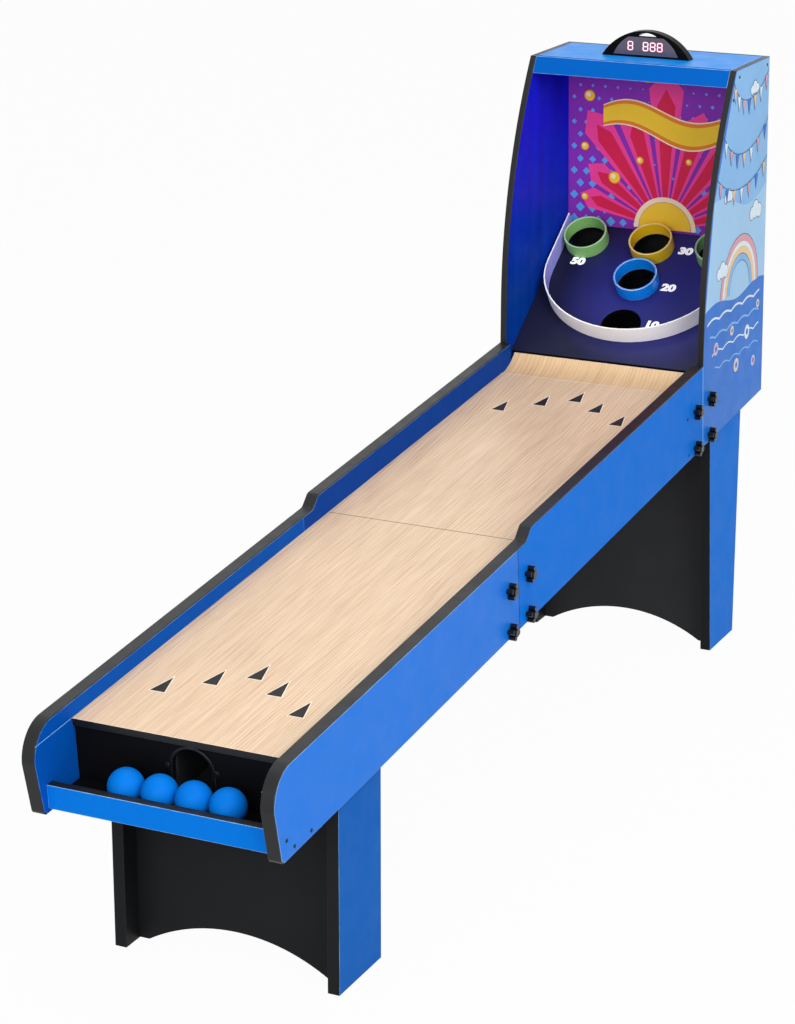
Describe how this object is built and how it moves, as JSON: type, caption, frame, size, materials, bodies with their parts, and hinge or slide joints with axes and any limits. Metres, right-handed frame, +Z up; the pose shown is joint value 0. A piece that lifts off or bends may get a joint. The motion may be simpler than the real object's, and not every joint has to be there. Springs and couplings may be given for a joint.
{
  "type": "ball rolling alley game table",
  "caption": "Sloping ball alley on two leg stands with a target cabinet, ringed score holes, ball return, tray and scorer.",
  "frame": {"origin": "on the floor under the middle of the table's box", "axes": "+X to the player's right, +Y from the player to the cabinet, +Z up"},
  "size_m": [0.4566, 2.1306, 1.239],
  "materials": {
    "blue_board": "satin",
    "maple_board": "satin",
    "raw_batten": "matte",
    "black_board": "matte",
    "black_trim": "matte",
    "black_plastic": "satin",
    "grey_plastic": "matte",
    "zinc_plate": "satin",
    "backboard_print": "satin",
    "target_print": "satin",
    "white_band": "satin",
    "green_ring": "satin",
    "yellow_ring": "satin",
    "blue_ring": "satin",
    "smoked_lens": "gloss",
    "circuit_board": "matte",
    "blue_ball": "satin"
  },
  "bodies": {
    "table": {"front_side_panel_left": "blue_board", "front_side_panel_right": "blue_board", "front_guard_rails": "blue_board", "rail_edge_trims": "black_trim", "front_lane_board": "maple_board", "ball_tray_floor": "black_board", "tray_apron": "blue_board", "tray_back_panel": "black_board", "return_mouth_bezel": "black_plastic", "rear_side_panel_left": "blue_board", "rear_side_panel_right": "blue_board", "rear_guard_rails": "blue_board", "rear_lane_board": "maple_board", "jump_ramp": "maple_board", "return_chute": "grey_plastic", "chute_bars": "raw_batten", "lane_cleats": "raw_batten", "joint_plates": "zinc_plate", "cabinet_side_left": "blue_board", "cabinet_side_right": "blue_board", "cabinet_edge_trims": "black_trim", "cabinet_top": "blue_board", "header_board": "blue_board", "backboard": "backboard_print", "rear_cover": "black_board", "target_board": "target_print", "fence_band": "white_band", "ball_catch_tray": "black_plastic", "ring_50_left": "green_ring", "ring_50_right": "green_ring", "ring_30": "yellow_ring", "ring_20": "blue_ring", "hole_sensors": "black_plastic", "scorer_housing": "black_plastic", "scorer_lens": "smoked_lens", "scorer_circuit_board": "circuit_board", "front_leg_posts": "blue_board", "rear_leg_posts": "blue_board", "front_leg_panel": "black_board", "rear_leg_panel": "black_board"},
    "knob_middle_left_1": {"knob_middle_left_1": "black_plastic"},
    "knob_middle_left_2": {"knob_middle_left_2": "black_plastic"},
    "knob_middle_left_3": {"knob_middle_left_3": "black_plastic"},
    "knob_middle_left_4": {"knob_middle_left_4": "black_plastic"},
    "knob_middle_right_1": {"knob_middle_right_1": "black_plastic"},
    "knob_middle_right_2": {"knob_middle_right_2": "black_plastic"},
    "knob_middle_right_3": {"knob_middle_right_3": "black_plastic"},
    "knob_middle_right_4": {"knob_middle_right_4": "black_plastic"},
    "knob_cabinet_left_1": {"knob_cabinet_left_1": "black_plastic"},
    "knob_cabinet_left_2": {"knob_cabinet_left_2": "black_plastic"},
    "knob_cabinet_left_3": {"knob_cabinet_left_3": "black_plastic"},
    "knob_cabinet_left_4": {"knob_cabinet_left_4": "black_plastic"},
    "knob_cabinet_right_1": {"knob_cabinet_right_1": "black_plastic"},
    "knob_cabinet_right_2": {"knob_cabinet_right_2": "black_plastic"},
    "knob_cabinet_right_3": {"knob_cabinet_right_3": "black_plastic"},
    "knob_cabinet_right_4": {"knob_cabinet_right_4": "black_plastic"},
    "ball_1": {"ball_1": "blue_ball"},
    "ball_2": {"ball_2": "blue_ball"},
    "ball_3": {"ball_3": "blue_ball"},
    "ball_4": {"ball_4": "blue_ball"}
  },
  "joints": [
    {"name": "knob_middle_left_1_turn", "type": "hinge", "parent": "table", "child": "knob_middle_left_1", "pos_m": [-0.214, -0.2158, 0.39659], "axis": [1, 0, 0], "continuous": true},
    {"name": "knob_middle_left_2_turn", "type": "hinge", "parent": "table", "child": "knob_middle_left_2", "pos_m": [-0.214, -0.13811, 0.40352], "axis": [1, 0, 0], "continuous": true},
    {"name": "knob_middle_left_3_turn", "type": "hinge", "parent": "table", "child": "knob_middle_left_3", "pos_m": [-0.214, -0.22247, 0.47129], "axis": [1, 0, 0], "continuous": true},
    {"name": "knob_middle_left_4_turn", "type": "hinge", "parent": "table", "child": "knob_middle_left_4", "pos_m": [-0.214, -0.14478, 0.47822], "axis": [1, 0, 0], "continuous": true},
    {"name": "knob_middle_right_1_turn", "type": "hinge", "parent": "table", "child": "knob_middle_right_1", "pos_m": [0.214, -0.2158, 0.39659], "axis": [1, 0, 0], "continuous": true},
    {"name": "knob_middle_right_2_turn", "type": "hinge", "parent": "table", "child": "knob_middle_right_2", "pos_m": [0.214, -0.13811, 0.40352], "axis": [1, 0, 0], "continuous": true},
    {"name": "knob_middle_right_3_turn", "type": "hinge", "parent": "table", "child": "knob_middle_right_3", "pos_m": [0.214, -0.22247, 0.47129], "axis": [1, 0, 0], "continuous": true},
    {"name": "knob_middle_right_4_turn", "type": "hinge", "parent": "table", "child": "knob_middle_right_4", "pos_m": [0.214, -0.14478, 0.47822], "axis": [1, 0, 0], "continuous": true},
    {"name": "knob_cabinet_left_1_turn", "type": "hinge", "parent": "table", "child": "knob_cabinet_left_1", "pos_m": [-0.214, 0.68064, 0.47659], "axis": [1, 0, 0], "continuous": true},
    {"name": "knob_cabinet_left_2_turn", "type": "hinge", "parent": "table", "child": "knob_cabinet_left_2", "pos_m": [-0.214, 0.75833, 0.48352], "axis": [1, 0, 0], "continuous": true},
    {"name": "knob_cabinet_left_3_turn", "type": "hinge", "parent": "table", "child": "knob_cabinet_left_3", "pos_m": [-0.214, 0.67397, 0.55129], "axis": [1, 0, 0], "continuous": true},
    {"name": "knob_cabinet_left_4_turn", "type": "hinge", "parent": "table", "child": "knob_cabinet_left_4", "pos_m": [-0.214, 0.75166, 0.55823], "axis": [1, 0, 0], "continuous": true},
    {"name": "knob_cabinet_right_1_turn", "type": "hinge", "parent": "table", "child": "knob_cabinet_right_1", "pos_m": [0.214, 0.68064, 0.47659], "axis": [1, 0, 0], "continuous": true},
    {"name": "knob_cabinet_right_2_turn", "type": "hinge", "parent": "table", "child": "knob_cabinet_right_2", "pos_m": [0.214, 0.75833, 0.48352], "axis": [1, 0, 0], "continuous": true},
    {"name": "knob_cabinet_right_3_turn", "type": "hinge", "parent": "table", "child": "knob_cabinet_right_3", "pos_m": [0.214, 0.67397, 0.55129], "axis": [1, 0, 0], "continuous": true},
    {"name": "knob_cabinet_right_4_turn", "type": "hinge", "parent": "table", "child": "knob_cabinet_right_4", "pos_m": [0.214, 0.75166, 0.55823], "axis": [1, 0, 0], "continuous": true},
    {"name": "ball_1_lift", "type": "slide", "parent": "table", "child": "ball_1", "axis": [0, 0, 1], "range_m": [0, 0.15]},
    {"name": "ball_2_lift", "type": "slide", "parent": "table", "child": "ball_2", "axis": [0, 0, 1], "range_m": [0, 0.15]},
    {"name": "ball_3_lift", "type": "slide", "parent": "table", "child": "ball_3", "axis": [0, 0, 1], "range_m": [0, 0.15]},
    {"name": "ball_4_lift", "type": "slide", "parent": "table", "child": "ball_4", "axis": [0, 0, 1], "range_m": [0, 0.15]}
  ]
}
